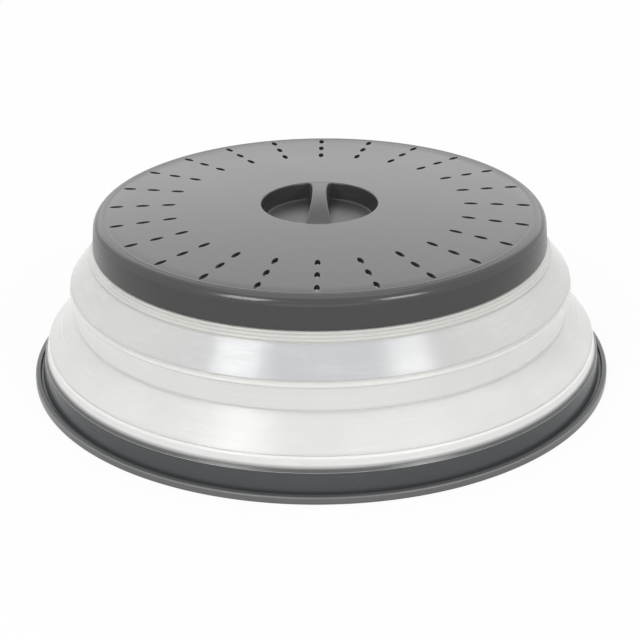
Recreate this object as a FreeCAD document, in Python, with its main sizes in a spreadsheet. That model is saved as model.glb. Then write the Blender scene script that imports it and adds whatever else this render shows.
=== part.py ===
import FreeCAD, Part
import math
import os
import re
import Sketcher

# A collapsible vented food cover: a stiff top plate with a grip sunk in its middle, a soft
# bellows that folds down in two steps, and a stiff ring that stands on the plate or turntable.
# The bellows is one moulding. It is split here at its hinge lines, because its two cones turn
# inside out while the bands between them keep their shape.
#
# Frame: millimetres, +Z up, the origin on the floor under the centre. The grip runs along Y.

SIZES = [
    # Top plate
    ("plate_radius", 101.5, "outside of the top plate, at its shoulder"),
    ("plate_wall", 2.0, "wall of the top plate and its recess"),
    ("skirt_height", 13.7, "skirt, from its lower edge to the plate's rim"),
    ("skirt_flare", 0.9, "how much wider the skirt is at its lower edge"),
    ("skirt_wall", 1.8, "wall of the skirt"),
    ("shoulder_round", 4.2, "round between the skirt and the top"),
    ("shoulder_bore_round", 2.4, "the same round, inside"),
    ("rim_land", 4.4, "rim between the skirt and the domed field"),
    ("field_drop", 0.3, "step from the rim down to the domed field"),
    ("crown_rise", 2.2, "rise of the domed field at its centre"),
    # Vents
    ("vent_rays", 24, "rays of slots round the plate"),
    ("vent_length", 6.0, "slot, end to end"),
    ("vent_width", 2.2, "slot, side to side"),
    ("vent_rows", 3, "slots in each ray"),
    ("vent_pitch", 11.9, "from one slot of a ray to the next"),
    ("vent_margin", 9.2, "from the skirt to the centre of the outermost slots"),
    # Grip
    ("recess_radius", 26.5, "finger recess at its rim"),
    ("recess_depth", 7.8, "finger recess, below the domed field"),
    ("recess_draft", 1.7, "how much narrower the recess is at its floor"),
    ("recess_round", 0.9, "round at the recess's rim"),
    ("floor_round", 1.8, "round at the recess's floor"),
    ("grip_rise", 5.3, "crest of the grip above the dome"),
    ("grip_waist", 6.9, "grip at its narrow middle"),
    ("grip_ends", 10.8, "grip at the recess's rim"),
    ("grip_wall", 1.7, "wall of the hollow grip"),
    ("grip_round", 0.8, "rounded edges of the grip's crest"),
    ("trim_spare", 6.0, "how far the grip's blank runs past the recess before it is trimmed"),
    # Bellows
    ("film_width", 2.0, "soft wall, measured level"),
    ("lap_depth", 6.0, "soft wall bonded up inside the skirt"),
    ("lap_wall", 1.9, "soft wall inside the skirt"),
    ("ledge_rise", 1.9, "ledge from the upper bead up to the skirt"),
    ("bead_height", 3.0, "upper bead"),
    ("bead_reach", 2.6, "upper bead outside the skirt's lower edge"),
    ("bead_round", 0.8, "rounded top edge of the upper bead"),
    ("upper_cone_height", 11.8, "upper cone, as it stands"),
    ("upper_cone_step", 9.2, "how much wider the upper cone is at its foot"),
    ("band_height", 14.8, "band between the cones"),
    ("band_draft", 0.8, "how much narrower the band is at its foot"),
    ("ridge_height", 2.6, "bead round the top of the band"),
    ("ridge_proud", 0.5, "how far that bead stands out"),
    ("ridge_round", 0.4, "rounded edges of that bead"),
    ("groove_height", 1.1, "groove over that bead"),
    ("groove_depth", 0.4, "how far that groove goes in"),
    ("lower_cone_height", 12.4, "lower cone, as it stands"),
    ("lower_cone_step", 12.4, "how much wider the lower cone is at its foot"),
    ("collar_height", 4.6, "soft collar over the ring's shoulder"),
    ("collar_foot", 1.2, "collar outside the lower cone, at its foot"),
    ("collar_head", 0.5, "collar outside the lower cone, at its head"),
    ("collar_round", 0.4, "rounded edges of the collar"),
    # Base ring
    ("ring_height", 13.2, "ring, from the floor to its shoulder"),
    ("ring_wall", 2.2, "wall of the ring"),
    ("ring_flare", 1.2, "how much wider the ring's wall is at its foot"),
    ("ring_lap", 1.8, "soft collar lapped down over the shoulder"),
    ("ring_lap_out", 1.4, "ring's wall outside the collar's foot, under the lap"),
    ("lap_thickness", 0.8, "lapped edge of the collar"),
    ("tongue_inset", 0.8, "tongue inside the collar's outer face"),
    ("tongue_wall", 1.3, "tongue that the collar is moulded round"),
    ("tongue_height", 2.8, "tongue above the ring's shoulder"),
    ("gutter_floor", 1.6, "floor between the ring's wall and its lip"),
    ("gutter_width", 1.4, "from the ring's wall to the lip"),
    ("lip_width", 2.5, "lip round the foot"),
    ("lip_height", 3.6, "lip above the floor"),
    ("lip_round", 0.9, "rounded top edges of the lip"),
]
SIZE_NAMES = {name for name, number, meaning in SIZES}

# Heights, from the floor up.
COLLAR_TOP = "ring_height + collar_height"
WAIST = COLLAR_TOP + " + lower_cone_height"
BAND_TOP = WAIST + " + band_height"
BEAD = BAND_TOP + " + upper_cone_height"
LEDGE = BEAD + " + bead_height"
SKIRT_EDGE = LEDGE + " + ledge_rise"
RIM = SKIRT_EDGE + " + skirt_height"
FIELD_EDGE = RIM + " - field_drop"
CROWN = FIELD_EDGE + " + crown_rise"
RECESS_FLOOR = CROWN + " - recess_depth"
LAP_EDGE = "ring_height - ring_lap"

# Radii, from the top plate out.
FLOOR_R = "recess_radius - recess_draft"
FIELD_R = "plate_radius - rim_land"
SKIRT_R = "plate_radius + skirt_flare"
SKIRT_BORE_R = SKIRT_R + " - skirt_wall"
BEAD_R = SKIRT_R + " + bead_reach"
BAND_R = BEAD_R + " + upper_cone_step"
WAIST_R = BAND_R + " - band_draft"
CONE_FOOT_R = WAIST_R + " + lower_cone_step"
COLLAR_R = CONE_FOOT_R + " + collar_foot"
TONGUE_R = COLLAR_R + " - tongue_inset"
RING_TOP_R = COLLAR_R + " + ring_lap_out"
RING_FOOT_R = RING_TOP_R + " + ring_flare"
LIP_BORE_R = RING_FOOT_R + " + gutter_width"
LIP_R = LIP_BORE_R + " + lip_width"

doc = FreeCAD.newDocument("food_cover")
sheet = doc.addObject("Spreadsheet::Sheet", "Sizes")


def fill_sheet():
    """Write each driving size, its alias and its meaning into the sheet."""
    for row, (name, number, meaning) in enumerate(SIZES, start=1):
        sheet.set(f"A{row}", name)
        sheet.set(f"B{row}", str(number))
        sheet.setAlias(f"B{row}", name)
        sheet.set(f"C{row}", meaning)
    doc.recompute()


def bound(text):
    """Turn a sum of size names into an expression on the sheet."""
    return re.sub(r"[a-z_]+", lambda word: "Sizes." * (word[0] in SIZE_NAMES) + word[0], text)


def value(text):
    """Work out a sum of size names."""
    return float(sheet.evalExpression(bound(text)))


def ball(chord, rise):
    """Radius of the ball that rises by rise over a circle of radius chord."""
    return f"((({chord})^2 + ({rise})^2) / (2 * ({rise})))"


def dome(top, radius, reach):
    """Height of a dome with this top and ball radius, at a distance reach from its axis."""
    return f"({top} - {radius} + sqrt(({radius})^2 - ({reach})^2))"


CROWN_BALL = ball(FIELD_R, "crown_rise")
CREST = CROWN + " + grip_rise"
GRIP_BALL = ball("recess_radius", f"{CREST} - {dome(CROWN, CROWN_BALL, 'recess_radius')}")


def crown_at(reach, depth="0"):
    """Height of the plate's dome at a radius, or of a face that lies depth below it."""
    return dome(f"{CROWN} - {depth}", f"({CROWN_BALL} - {depth})", reach)


def plane_of(body, role):
    """Origin plane of a body."""
    return next(plane for plane in body.Origin.OriginFeatures if plane.Role == role)


def new_body(label):
    """Empty body with a label of its own, at the model's origin."""
    body = doc.addObject("PartDesign::Body", label)
    body.Label = label
    body.Placement = FreeCAD.Placement()
    return body


def new_sketch(body, name, role):
    """Sketch on one of its own body's origin planes."""
    sketch = body.newObject("Sketcher::SketchObject", name)
    sketch.AttachmentSupport = [(plane_of(body, role), "")]
    sketch.MapMode = "FlatFace"
    return sketch


def pin(sketch, edge, end, axis, text):
    """Hold one coordinate of a point: on the axis where it is 0, else by a bound distance."""
    if text == "0":
        sketch.addConstraint(Sketcher.Constraint("PointOnObject", edge, end, {"X": -2, "Y": -1}[axis]))
        return
    held = Sketcher.Constraint("Distance" + axis, -1, 1, edge, end, value(text))
    sketch.setExpression(f"Constraints[{sketch.addConstraint(held)}]", bound(text))


def arc_between(start, end, centre):
    """Shorter arc between two points, and which of its ends is the first point."""
    circle = Part.Circle(centre, FreeCAD.Vector(0, 0, 1), (start - centre).Length)
    first, last = circle.parameter(start), circle.parameter(end)
    if (last - first) % (2 * math.pi) < math.pi:
        return Part.ArcOfCircle(circle, first, last), 1
    return Part.ArcOfCircle(circle, last, first), 2


def draw_outline(sketch, corners, arcs=None):
    """Closed outline through corners, each two sums of sizes.

    arcs gives, for the edge that leaves a corner, the arc's centre as two sums. One of them is
    0, so the centre is on an axis. The arc's two ends hold it there, and the other sum is bound.
    """
    arcs = arcs or {}
    points = [FreeCAD.Vector(value(across), value(up), 0) for across, up in corners]
    ends = []
    for index, start in enumerate(points):
        end = points[(index + 1) % len(points)]
        if index in arcs:
            centre = FreeCAD.Vector(value(arcs[index][0]), value(arcs[index][1]), 0)
            arc, first = arc_between(start, end, centre)
            ends.append((sketch.addGeometry(arc, False), first, 3 - first))
        else:
            ends.append((sketch.addGeometry(Part.LineSegment(start, end), False), 1, 2))
    for index, (edge, first, last) in enumerate(ends):
        next_edge, next_first, next_last = ends[(index + 1) % len(ends)]
        sketch.addConstraint(Sketcher.Constraint("Coincident", edge, last, next_edge, next_first))
        pin(sketch, edge, first, "X", corners[index][0])
        pin(sketch, edge, first, "Y", corners[index][1])
        if index in arcs:
            across, up = arcs[index]
            pin(sketch, edge, 3, "Y" if across == "0" else "X", up if across == "0" else across)


def add_feature(body, kind, name, **settings):
    """Add a PartDesign feature, make it the body's tip and work it out."""
    feature = body.newObject("PartDesign::" + kind, name)
    for key, setting in settings.items():
        setattr(feature, key, setting)
    body.Tip = feature
    doc.recompute()
    return feature


def revolve(body, corners, arcs=None):
    """Turn an outline of radii and heights about the vertical axis."""
    sketch = new_sketch(body, "section", "XZ_Plane")
    draw_outline(sketch, corners, arcs)
    return add_feature(body, "Revolution", "turned", Profile=sketch, Angle=360,
                       ReferenceAxis=(sketch, ["V_Axis"]))


def round_edges(body, name, size, chosen):
    """Round the edges of the tip that a test picks."""
    edges = body.Tip.Shape.Edges
    names = [f"Edge{number}" for number, edge in enumerate(edges, start=1) if chosen(edge)]
    if not names:
        raise ValueError(f"{body.Label}: {name} finds no edge")
    fillet = add_feature(body, "Fillet", name, Base=(body.Tip, names), Radius=value(size))
    fillet.setExpression("Radius", bound(size))
    doc.recompute()


def is_circle(radius, height):
    """Test for a full circle about the vertical axis, of one radius and height."""
    def chosen(edge):
        box = edge.BoundBox
        size, level = value(radius), value(height)
        flat = box.ZLength < 0.01 and abs(box.ZMin - level) < 0.01
        return flat and abs(box.XMax - size) < 0.01 and abs(box.YMin + size) < 0.01
    return chosen


def base_ring():
    """Stiff ring: a lip that stands on the floor, a wall, and a tongue for the collar."""
    body = new_body("base_ring")
    revolve(body, [
        (f"{RING_FOOT_R} - ring_wall", "0"),
        (LIP_R, "0"),
        (LIP_R, "lip_height"),
        (LIP_BORE_R, "lip_height"),
        (LIP_BORE_R, "gutter_floor"),
        (RING_FOOT_R, "gutter_floor"),
        (RING_TOP_R, LAP_EDGE),
        (f"{RING_TOP_R} - lap_thickness", LAP_EDGE),
        (TONGUE_R, "ring_height"),
        (TONGUE_R, "ring_height + tongue_height"),
        (f"{TONGUE_R} - tongue_wall", "ring_height + tongue_height"),
        (f"{TONGUE_R} - tongue_wall", "ring_height"),
        (f"{RING_TOP_R} - ring_wall", LAP_EDGE),
    ])
    round_edges(body, "lip_outer_round", "lip_round", is_circle(LIP_R, "lip_height"))
    round_edges(body, "lip_inner_round", "lip_round", is_circle(LIP_BORE_R, "lip_height"))
    return body


def lower_collar():
    """Foot of the bellows, moulded over the ring's tongue and lapped over its shoulder."""
    body = new_body("lower_collar")
    revolve(body, [
        (RING_TOP_R, LAP_EDGE),
        (COLLAR_R, "ring_height"),
        (f"{CONE_FOOT_R} + collar_head", COLLAR_TOP),
        (f"{CONE_FOOT_R} - film_width", COLLAR_TOP),
        (f"{CONE_FOOT_R} - film_width", "ring_height"),
        (f"{TONGUE_R} - tongue_wall", "ring_height"),
        (f"{TONGUE_R} - tongue_wall", "ring_height + tongue_height"),
        (TONGUE_R, "ring_height + tongue_height"),
        (TONGUE_R, "ring_height"),
        (f"{RING_TOP_R} - lap_thickness", LAP_EDGE),
    ])
    round_edges(body, "shoulder_round", "collar_round", is_circle(COLLAR_R, "ring_height"))
    round_edges(body, "head_round", "collar_round", is_circle(f"{CONE_FOOT_R} + collar_head", COLLAR_TOP))
    return body


def cone(label, foot, foot_radius, head, head_radius):
    """Thin soft cone between two hinge lines."""
    body = new_body(label)
    revolve(body, [
        (foot_radius, foot),
        (head_radius, head),
        (f"{head_radius} - film_width", head),
        (f"{foot_radius} - film_width", foot),
    ])
    return body


def mid_band():
    """Upright band between the cones, with a bead and a groove round its top."""
    body = new_body("mid_band")
    ridge_top = f"{BAND_TOP} - groove_height"
    ridge_foot = f"{ridge_top} - ridge_height"
    revolve(body, [
        (WAIST_R, WAIST),
        (f"{BAND_R} - groove_depth", ridge_foot),
        (f"{BAND_R} + ridge_proud", ridge_foot),
        (f"{BAND_R} + ridge_proud", ridge_top),
        (f"{BAND_R} - groove_depth", ridge_top),
        (BAND_R, BAND_TOP),
        (f"{BAND_R} - film_width", BAND_TOP),
        (f"{WAIST_R} - film_width", WAIST),
    ])
    round_edges(body, "bead_foot_round", "ridge_round", is_circle(f"{BAND_R} + ridge_proud", ridge_foot))
    round_edges(body, "bead_head_round", "ridge_round", is_circle(f"{BAND_R} + ridge_proud", ridge_top))
    return body


def upper_collar():
    """Head of the bellows: a bead, a ledge under the skirt, and a lap bonded inside it."""
    body = new_body("upper_collar")
    lap_top_r = f"{SKIRT_BORE_R} - skirt_flare * lap_depth / skirt_height"
    revolve(body, [
        (BEAD_R, BEAD),
        (BEAD_R, LEDGE),
        (SKIRT_R, SKIRT_EDGE),
        (SKIRT_BORE_R, SKIRT_EDGE),
        (lap_top_r, f"{SKIRT_EDGE} + lap_depth"),
        (f"{lap_top_r} - lap_wall", f"{SKIRT_EDGE} + lap_depth"),
        (f"{SKIRT_BORE_R} - lap_wall", SKIRT_EDGE),
        (f"{BEAD_R} - film_width", BEAD),
    ])
    round_edges(body, "bead_head_round", "bead_round", is_circle(BEAD_R, LEDGE))
    return body


def plate_shell(body):
    """Turned part of the top plate: skirt, shoulder, dome and finger recess."""
    skirt_top_r = f"{SKIRT_BORE_R} - skirt_flare * (skirt_height - plate_wall) / skirt_height"
    neck_r = "recess_radius + plate_wall"
    dome_centre = ("0", f"{CROWN} - {CROWN_BALL}")
    revolve(body, [
        (SKIRT_R, SKIRT_EDGE),
        ("plate_radius", RIM),
        (FIELD_R, RIM),
        (FIELD_R, FIELD_EDGE),
        ("recess_radius", crown_at("recess_radius")),
        (FLOOR_R, RECESS_FLOOR),
        ("0", RECESS_FLOOR),
        ("0", f"{RECESS_FLOOR} - plate_wall"),
        (f"{FLOOR_R} + plate_wall", f"{RECESS_FLOOR} - plate_wall"),
        (neck_r, crown_at(neck_r, "plate_wall")),
        (FIELD_R, crown_at(FIELD_R, "plate_wall")),
        (skirt_top_r, f"{RIM} - plate_wall"),
        (SKIRT_BORE_R, SKIRT_EDGE),
    ], {3: dome_centre, 9: dome_centre})
    round_edges(body, "shoulder", "shoulder_round", is_circle("plate_radius", RIM))
    rim = crown_at("recess_radius")
    round_edges(body, "recess_rim", "recess_round", is_circle("recess_radius", rim))
    round_edges(body, "recess_floor", "floor_round", is_circle(FLOOR_R, RECESS_FLOOR))
    inner_edge = is_circle(skirt_top_r, f"{RIM} - plate_wall")
    round_edges(body, "shoulder_bore", "shoulder_bore_round", inner_edge)


def slot_end(sketch, centre, turn):
    """Half circle of a slot about a point of the X axis, drawn from the angle turn."""
    radius = "vent_width / 2"
    middle = FreeCAD.Vector(value(centre), 0, 0)
    circle = Part.Circle(middle, FreeCAD.Vector(0, 0, 1), value(radius))
    arc = sketch.addGeometry(Part.ArcOfCircle(circle, turn, turn + math.pi), False)
    pin(sketch, arc, 3, "X", centre)
    pin(sketch, arc, 3, "Y", "0")
    held = sketch.addConstraint(Sketcher.Constraint("Radius", arc, value(radius)))
    sketch.setExpression(f"Constraints[{held}]", bound(radius))
    return arc


def slot_side(sketch, first, last):
    """Straight side of a slot, from the end of one half circle to the start of the next."""
    start, end = sketch.getPoint(first, 2), sketch.getPoint(last, 1)
    side = sketch.addGeometry(Part.LineSegment(start, end), False)
    sketch.addConstraint(Sketcher.Constraint("Tangent", first, 2, side, 1))
    sketch.addConstraint(Sketcher.Constraint("Tangent", side, 2, last, 1))


def draw_slot(sketch, centre):
    """Round-ended slot on the sketch's X axis."""
    half = "(vent_length - vent_width) / 2"
    outer = slot_end(sketch, f"{centre} + {half}", -math.pi / 2)
    inner = slot_end(sketch, f"{centre} - {half}", math.pi / 2)
    slot_side(sketch, outer, inner)
    slot_side(sketch, inner, outer)


def cut_vents(body):
    """Slots in a row along a ray, repeated round the plate."""
    sketch = new_sketch(body, "vent_ray", "XY_Plane")
    for step in range(int(value("vent_rows"))):
        draw_slot(sketch, f"plate_radius - vent_margin - {step} * vent_pitch")
    slots = add_feature(body, "Pocket", "vents", Profile=sketch, Type="ThroughAll", Reversed=True)
    rays = add_feature(body, "PolarPattern", "vent_rays", Originals=[slots], Angle=360,
                       Axis=(sketch, ["N_Axis"]), Occurrences=int(value("vent_rays")))
    rays.setExpression("Occurrences", bound("vent_rays"))
    doc.recompute()


def grip_blank(body, inset, length):
    """Upright block with two waisted sides, of half length, drawn in by inset."""
    waist = f"grip_waist / 2 - {inset}"
    side_ball = ball("recess_radius", "(grip_ends - grip_waist) / 2")
    wide = f"({waist} + {side_ball} - sqrt(({side_ball})^2 - ({length})^2))"
    plan = new_sketch(body, "plan", "XY_Plane")
    draw_outline(plan, [
        (f"-{wide}", f"-{length}"),
        (wide, f"-{length}"),
        (wide, length),
        (f"-{wide}", length),
    ], {1: (f"{waist} + {side_ball}", "0"), 3: (f"-({waist} + {side_ball})", "0")})
    block = add_feature(body, "Pad", "block", Profile=plan, Length=value(CREST))
    block.setExpression("Length", bound(CREST))


def grip_form(label, inset, reach, foot):
    """Waisted, arched bar across the recess, drawn in by inset, from foot up to its crest.

    reach is how far its two ends stand outside the recess's wall.
    """
    body = new_body(label)
    length = "(recess_radius + trim_spare)"
    far = "recess_radius + 2 * trim_spare"
    sky = f"{CREST} + trim_spare"
    grip_blank(body, inset, length)
    arch_ball = f"({GRIP_BALL} - {inset})"
    arch_end = dome(f"{CREST} - {inset}", arch_ball, length)
    arch = new_sketch(body, "arch", "YZ_Plane")
    draw_outline(arch, [
        (f"-{length}", arch_end),
        (f"-{length}", sky),
        (length, sky),
        (length, arch_end),
    ], {3: ("0", f"{CREST} - {inset} - {arch_ball}")})
    add_feature(body, "Pocket", "over_the_arch", Profile=arch, Type="ThroughAll", Midplane=True)
    trim = new_sketch(body, "wall", "XZ_Plane")
    draw_outline(trim, [
        (f"{FLOOR_R} + {reach}", "0"),
        (far, "0"),
        (far, sky),
        (f"recess_radius + {reach}", sky),
        (f"recess_radius + {reach}", CROWN),
        (f"{FLOOR_R} + {reach}", RECESS_FLOOR),
    ])
    add_feature(body, "Groove", "ends", Profile=trim, Angle=360, ReferenceAxis=(trim, ["V_Axis"]))
    below = new_sketch(body, "below", "XZ_Plane")
    draw_outline(below, [(f"-{far}", "0"), (far, "0"), (far, foot), (f"-{far}", foot)])
    add_feature(body, "Pocket", "under_the_foot", Profile=below, Type="ThroughAll", Midplane=True)
    return body


def is_crest_side(edge):
    """Test for the two long edges of the grip's crest."""
    middle = edge.valueAt((edge.FirstParameter + edge.LastParameter) / 2)
    on_side = abs(abs(middle.x) - value("grip_waist / 2")) < 0.01
    return on_side and abs(middle.y) < 0.01 and abs(middle.z - value(CREST)) < 0.01


def top_plate():
    """Stiff plate with its skirt, vents and sunken finger grip, one moulding."""
    body = new_body("top_plate")
    plate_shell(body)
    cut_vents(body)
    bar = grip_form("grip_bar", "0", "plate_wall / 2", f"{RECESS_FLOOR} - plate_wall / 2")
    round_edges(bar, "crest_round", "grip_round", is_crest_side)
    join = add_feature(body, "Boolean", "grip", Type="Fuse")
    join.addObjects([bar])
    doc.recompute()
    hollow = grip_form("grip_hollow", "grip_wall", "-grip_wall", f"{RECESS_FLOOR} - 2 * plate_wall")
    cut = add_feature(body, "Boolean", "hollow", Type="Cut")
    cut.addObjects([hollow])
    doc.recompute()
    return body


def check_model(parts):
    """Stop if any object failed or any sub-part isn't one sound solid."""
    failed = [thing.Name for thing in doc.Objects if {"Invalid", "Error"} & set(thing.State)]
    unsound = [part.Label for part in parts
               if part.Shape.isNull() or not part.Shape.isValid() or len(part.Shape.Solids) != 1]
    if failed or unsound:
        raise ValueError(f"failed objects {failed}, unsound sub-parts {unsound}")


def main():
    """Build every sub-part, check it and write it."""
    fill_sheet()
    parts = [
        base_ring(),
        lower_collar(),
        cone("lower_cone", COLLAR_TOP, CONE_FOOT_R, WAIST, WAIST_R),
        mid_band(),
        cone("upper_cone", BAND_TOP, BAND_R, BEAD, BEAD_R),
        upper_collar(),
        top_plate(),
    ]
    doc.recompute()
    check_model(parts)
    os.makedirs("parts", exist_ok=True)
    for part in parts:
        part.Shape.exportStep(f"parts/{part.Label}.step")
        print(f"{part.Label}: {part.Shape.Volume:.0f} mm3")


main()
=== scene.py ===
import logging
import math
from dataclasses import dataclass, field
from enum import Enum

import bmesh
import bpy
from mathutils import Matrix, Vector


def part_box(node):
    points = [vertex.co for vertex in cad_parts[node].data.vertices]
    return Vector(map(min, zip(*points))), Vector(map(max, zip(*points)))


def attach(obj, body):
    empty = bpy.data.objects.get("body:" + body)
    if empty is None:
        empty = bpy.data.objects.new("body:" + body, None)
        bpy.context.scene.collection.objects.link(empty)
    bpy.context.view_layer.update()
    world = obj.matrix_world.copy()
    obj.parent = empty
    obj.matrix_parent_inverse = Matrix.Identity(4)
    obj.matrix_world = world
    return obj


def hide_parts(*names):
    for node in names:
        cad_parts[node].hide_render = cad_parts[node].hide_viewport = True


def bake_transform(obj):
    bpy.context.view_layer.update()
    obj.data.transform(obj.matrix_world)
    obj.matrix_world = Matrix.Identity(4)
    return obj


# Looks of a collapsible vented food cover: a stiff grey top plate with a sunken grip, a milky soft
# bellows in two tiers, and a stiff grey base ring. Metres, +Z up, the grip along Y, the front at -Y.
# Radii and heights that the cover shares with its CAD nodes are read from the frame.

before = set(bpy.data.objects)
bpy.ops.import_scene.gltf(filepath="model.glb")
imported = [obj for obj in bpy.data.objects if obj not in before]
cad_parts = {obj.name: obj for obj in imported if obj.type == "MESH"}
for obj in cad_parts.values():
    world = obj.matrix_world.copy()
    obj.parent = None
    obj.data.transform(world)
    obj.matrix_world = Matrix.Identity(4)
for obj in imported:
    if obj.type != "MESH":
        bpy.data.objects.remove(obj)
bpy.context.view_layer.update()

MM = 0.001
ROUND_STEPS = 256
MERGE = 0.002 * MM
SHARP_DEGREES = 32.0
log = logging.getLogger("food_cover")

Colour = tuple[float, float, float]
Paint = tuple[float, float, float, float]
Socket = bpy.types.NodeSocket

WHITE: Paint = (1.0, 1.0, 1.0, 1.0)
DUST: Paint = (0.6, 0.6, 0.58, 1.0)
# Paler grey painted on the ring's lip as its reflection, strongest as a highlight line along its top edge.
PAINTED_SHEEN_GREY: Paint = (0.25, 0.25, 0.235, 1.0)
SMEAR_WHITE: Paint = (0.86, 0.86, 0.85, 1.0)


class Body(Enum):
    """The rigid bodies of the cover, from the floor up."""

    BASE = "base"
    MID_TIER = "mid_tier"
    LID = "lid"


class Slot(Enum):
    """Material slots of the pieces."""

    PLATE = "plate_plastic"
    RING = "ring_plastic"
    BELLOWS = "soft_bellows"


# ---------------------------------------------------------------------------------------------
# Sizes
# ---------------------------------------------------------------------------------------------


@dataclass(frozen=True)
class Band:
    """Radius and heights of one CAD node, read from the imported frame.

    Args:
        node: the CAD node's name.
    """

    node: str

    @property
    def radius(self) -> float:
        """Widest radius of the node."""
        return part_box(self.node)[1].x

    @property
    def foot(self) -> float:
        """Lowest height of the node."""
        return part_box(self.node)[0].z

    @property
    def head(self) -> float:
        """Highest height of the node."""
        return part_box(self.node)[1].z


@dataclass(frozen=True)
class Corner:
    """A corner of an outline.

    Args:
        radius: distance from the vertical axis.
        height: height above the floor.
        rounding: how far back from the corner its round begins.
    """

    radius: float
    height: float
    rounding: float = 0.0


@dataclass(frozen=True)
class Seat:
    """Where the base ring and the bellows hold each other.

    Args:
        inset: from the ring's shoulder in to the tongue.
        tongue_wall: thickness of the tongue.
        lap: height of the ring's shoulder above the foot of the bellows.
        lap_thickness: thickness of the bellows outside that shoulder.
    """

    inset: float = 2.2 * MM
    tongue_wall: float = 1.3 * MM
    lap: float = 1.8 * MM
    lap_thickness: float = 0.8 * MM


@dataclass(frozen=True)
class Skirt:
    """The top plate's skirt, which the head of the bellows is bonded into.

    Args:
        wall: its thickness.
        flare: how much wider it is at its foot.
        height: from its foot to the plate's rim.
    """

    wall: float = 1.8 * MM
    flare: float = 0.9 * MM
    height: float = 13.7 * MM

    def draw_in(self, up: float) -> float:
        """How much narrower the skirt is at a height above its foot."""
        return self.flare * up / self.height


# ---------------------------------------------------------------------------------------------
# Mesh helpers
# ---------------------------------------------------------------------------------------------


def outline_mesh(corners: list[Corner], cuts: dict[int, int], closed: bool) -> bmesh.types.BMesh:
    """Draw an outline in the XZ plane, with its corners rounded.

    Args:
        corners: the outline's corners, in order.
        cuts: for the edge that leaves a corner, how many times it is divided.
        closed: whether the last corner joins the first, or both lie on the axis.

    Returns:
        A bmesh that holds only the outline's vertices and edges.
    """
    bm = bmesh.new()
    verts = [bm.verts.new((corner.radius, 0, corner.height)) for corner in corners]
    after = verts[1:] + verts[:1] if closed else verts[1:]
    edges = [bm.edges.new(pair) for pair in zip(verts, after)]
    for index, count in cuts.items():
        bmesh.ops.subdivide_edges(bm, edges=[edges[index]], cuts=count)
    for rounding in sorted({corner.rounding for corner in corners if corner.rounding > 0}):
        chosen = [vert for vert, corner in zip(verts, corners) if corner.rounding == rounding]
        bmesh.ops.bevel(bm, geom=chosen, offset=rounding, offset_type="OFFSET", segments=8, profile=0.5,
                        affect="VERTICES", material=-1)
    return bm


def turn(bm: bmesh.types.BMesh) -> None:
    """Spin an outline once round the vertical axis and close it.

    Args:
        bm: the bmesh that holds the outline.
    """
    bmesh.ops.spin(bm, geom=bm.verts[:] + bm.edges[:], cent=(0, 0, 0), axis=(0, 0, 1), angle=2 * math.pi,
                   steps=ROUND_STEPS, use_merge=True)
    bmesh.ops.remove_doubles(bm, verts=bm.verts[:], dist=MERGE)
    bmesh.ops.recalc_face_normals(bm, faces=bm.faces[:])


def shade_smooth(bm: bmesh.types.BMesh) -> None:
    """Shade every face smooth, with crisp edges where faces turn sharply.

    Args:
        bm: the mesh to shade.
    """
    for face in bm.faces:
        face.smooth = True
    for edge in bm.edges:
        edge.smooth = edge.calc_face_angle(0.0) < math.radians(SHARP_DEGREES)


def soften(piece: bpy.types.Object) -> None:
    """Clean a combined piece and shade it smooth.

    Args:
        piece: the object whose mesh is cleaned.
    """
    bm = bmesh.new()
    bm.from_mesh(piece.data)
    bmesh.ops.remove_doubles(bm, verts=bm.verts[:], dist=MERGE)
    bmesh.ops.recalc_face_normals(bm, faces=bm.faces[:])
    shade_smooth(bm)
    bm.to_mesh(piece.data)
    bm.free()


def finish_mesh(name: str, bm: bmesh.types.BMesh) -> bpy.types.Object:
    """Turn a bmesh into a smooth-shaded object at the origin.

    Args:
        name: the piece's name.
        bm: its mesh, which is freed.

    Returns:
        The new object.
    """
    shade_smooth(bm)
    mesh = bpy.data.meshes.new(name)
    bm.to_mesh(mesh)
    bm.free()
    piece = bpy.data.objects.new(name, mesh)
    bpy.context.scene.collection.objects.link(piece)
    return piece


def combine(piece: bpy.types.Object, tool: bpy.types.Object, operation: str) -> None:
    """Join a tool to a piece or cut it out of it, and drop the tool.

    Args:
        piece: the object that is changed.
        tool: a closed object.
        operation: UNION or DIFFERENCE.
    """
    modifier = piece.modifiers.new("combine", "BOOLEAN")
    modifier.object = tool
    modifier.operation = operation
    modifier.solver = "EXACT"
    result = bpy.data.meshes.new_from_object(piece.evaluated_get(bpy.context.evaluated_depsgraph_get()))
    piece.modifiers.clear()
    spent = piece.data, tool.data
    piece.data = result
    bpy.data.objects.remove(tool)
    for mesh in spent:
        bpy.data.meshes.remove(mesh)


def turned_piece(name: str, corners: list[Corner], cuts: dict[int, int] | None = None,
                 closed: bool = True) -> bpy.types.Object:
    """Make a piece by turning an outline about the vertical axis.

    Args:
        name: the piece's name.
        corners: the outline's corners, in order.
        cuts: for the edge that leaves a corner, how many times it is divided.
        closed: whether the last corner joins the first, or both lie on the axis.

    Returns:
        The new object.
    """
    bm = outline_mesh(corners, cuts or {}, closed)
    turn(bm)
    return finish_mesh(name, bm)


# ---------------------------------------------------------------------------------------------
# Shader helpers
# ---------------------------------------------------------------------------------------------


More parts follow.
